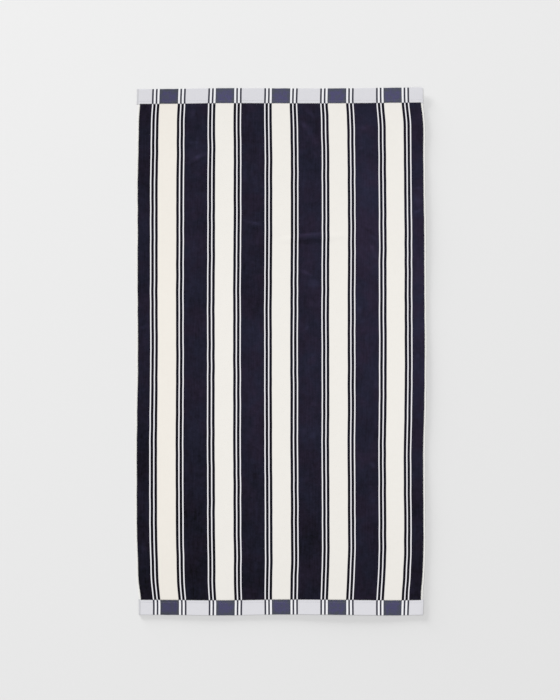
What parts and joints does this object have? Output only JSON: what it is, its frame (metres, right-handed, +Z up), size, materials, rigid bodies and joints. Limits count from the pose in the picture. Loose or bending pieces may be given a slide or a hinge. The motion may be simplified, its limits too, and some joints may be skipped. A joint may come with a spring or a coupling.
{
  "type": "beach towel",
  "caption": "Long striped cotton beach towel lying flat and face up, with a cut-pile field, flat woven end hems and narrow side hems.",
  "frame": {"origin": "bottom centre of the towel's box, on the surface that it lies on", "axes": "+Y along the towel's length, +X across its width, +Z up through its thickness"},
  "size_m": [0.9662, 1.7495, 0.0054],
  "materials": {
    "cotton_pile": "cut cotton pile in navy and cream warp stripes, looped pile behind",
    "flat_weave": "matt flat-woven cotton, pale grey and slate blue, ribbed across the hem",
    "sewing_thread": "fine twisted sewing thread"
  },
  "bodies": {
    "root": {"towel": "cotton_pile"}
  },
  "joints": []
}
